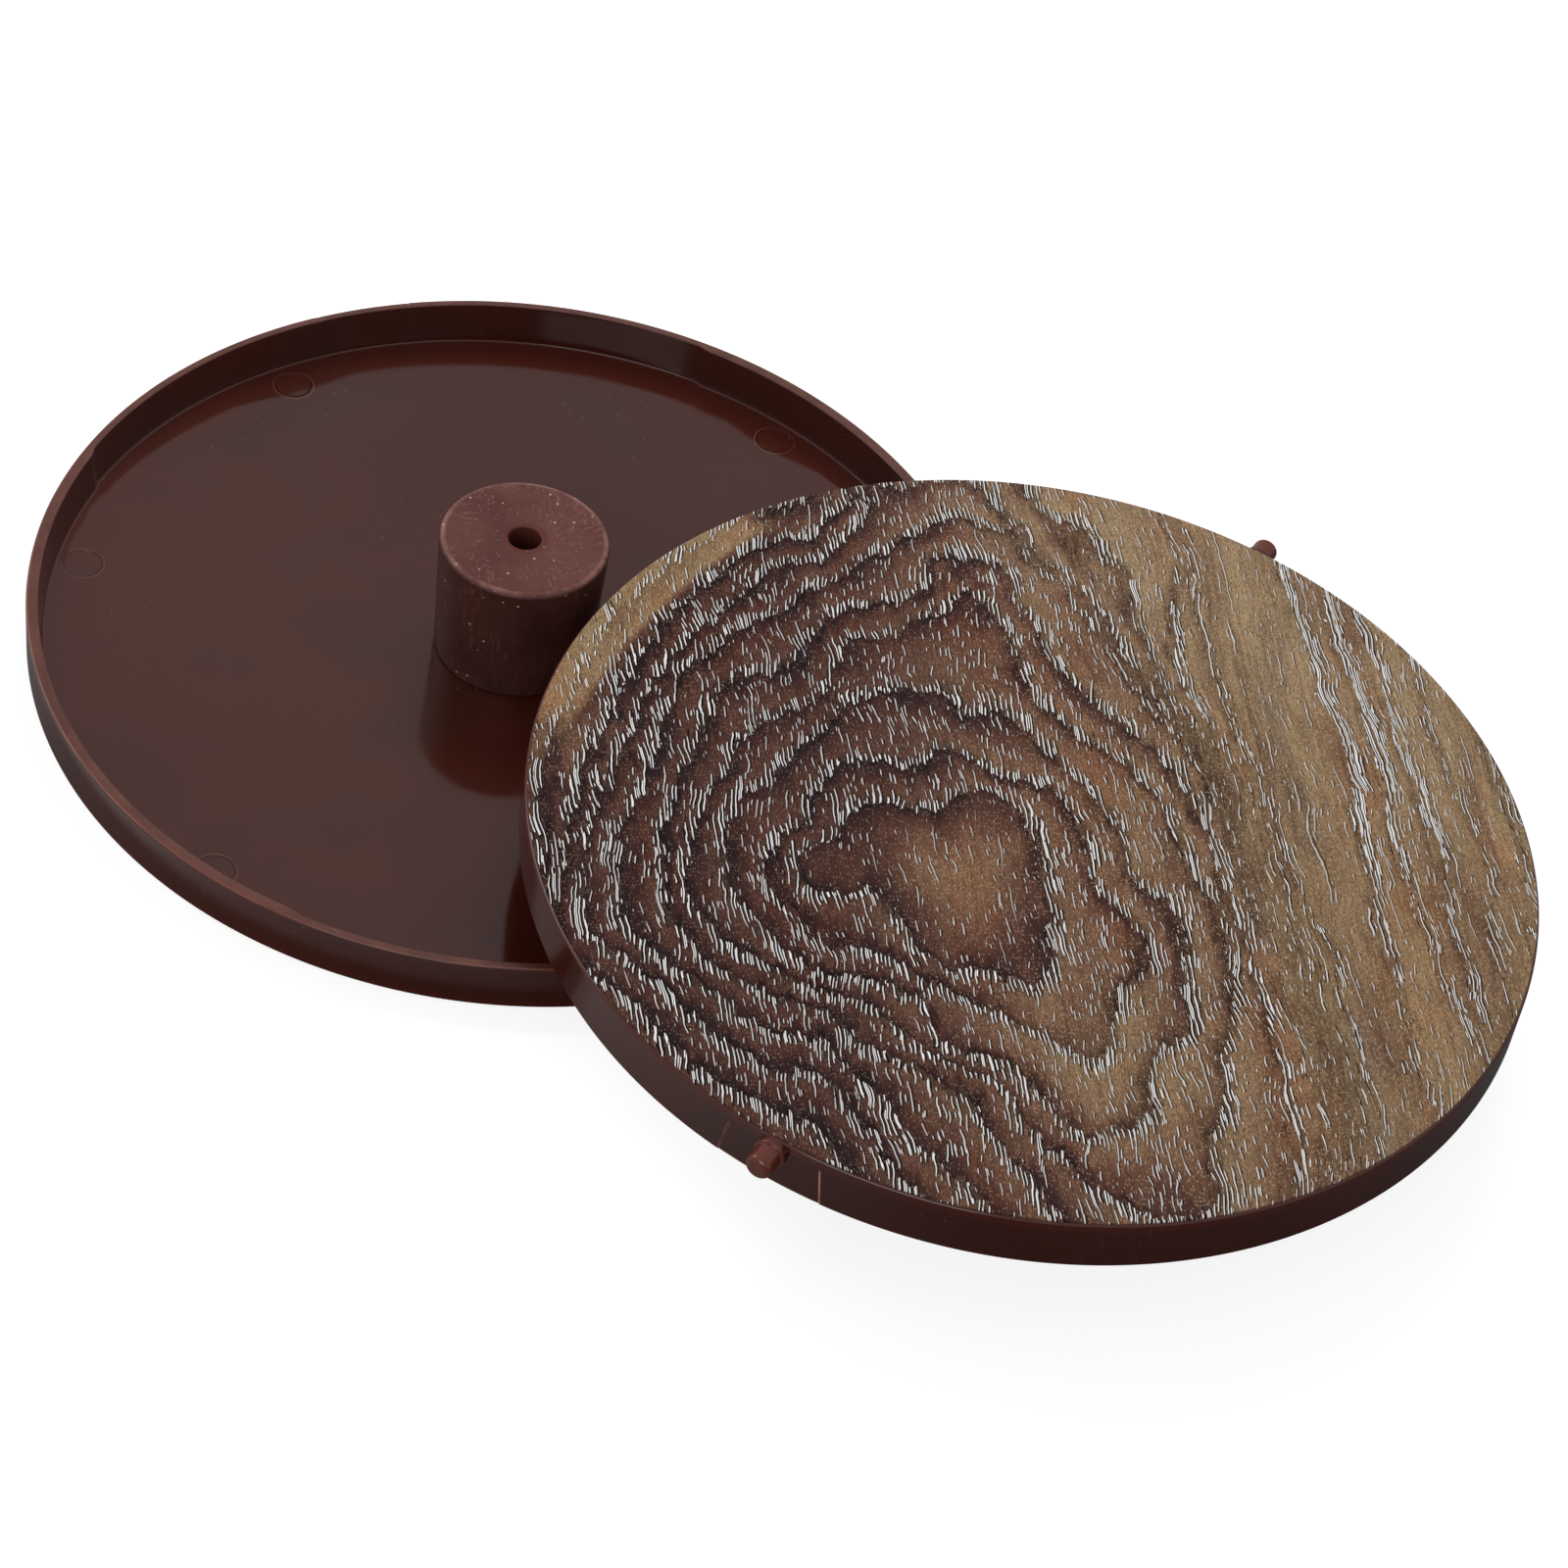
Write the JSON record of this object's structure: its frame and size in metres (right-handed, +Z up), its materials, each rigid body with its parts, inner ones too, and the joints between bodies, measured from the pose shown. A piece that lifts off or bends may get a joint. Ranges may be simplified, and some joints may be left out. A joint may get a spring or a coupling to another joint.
{
  "type": "swing bin lid pair",
  "caption": "Round swing lids for a waste bin, wood-grain face and dark moulded underside, each with two pivot pins and a central counterweight; one lies face down, one stands face up.",
  "frame": {"origin": "centre of the face-down lid's film face, on the table plane", "axes": "+Z up from the table; +X from the face-down lid's centre to the face-up lid's centre; +Y completes the right-handed frame"},
  "size_m": [0.3227, 0.211, 0.0314],
  "materials": {
    "dish": "glossy",
    "wood_film": "satin",
    "counterweight": "matt",
    "screw": "satin"
  },
  "bodies": {
    "lower_lid": {"lower_lid_dish": "dish", "lower_lid_wood_film": "wood_film", "lower_lid_counterweight": "counterweight", "lower_lid_screw": "screw"},
    "upper_lid": {"upper_lid_dish": "dish", "upper_lid_wood_film": "wood_film", "upper_lid_counterweight": "counterweight", "upper_lid_screw": "screw"}
  },
  "joints": [
    {"name": "upper_lid_lift", "type": "slide", "parent": "lower_lid", "child": "upper_lid", "axis": [0, 0, 1], "range_m": [0, 0.06]}
  ]
}
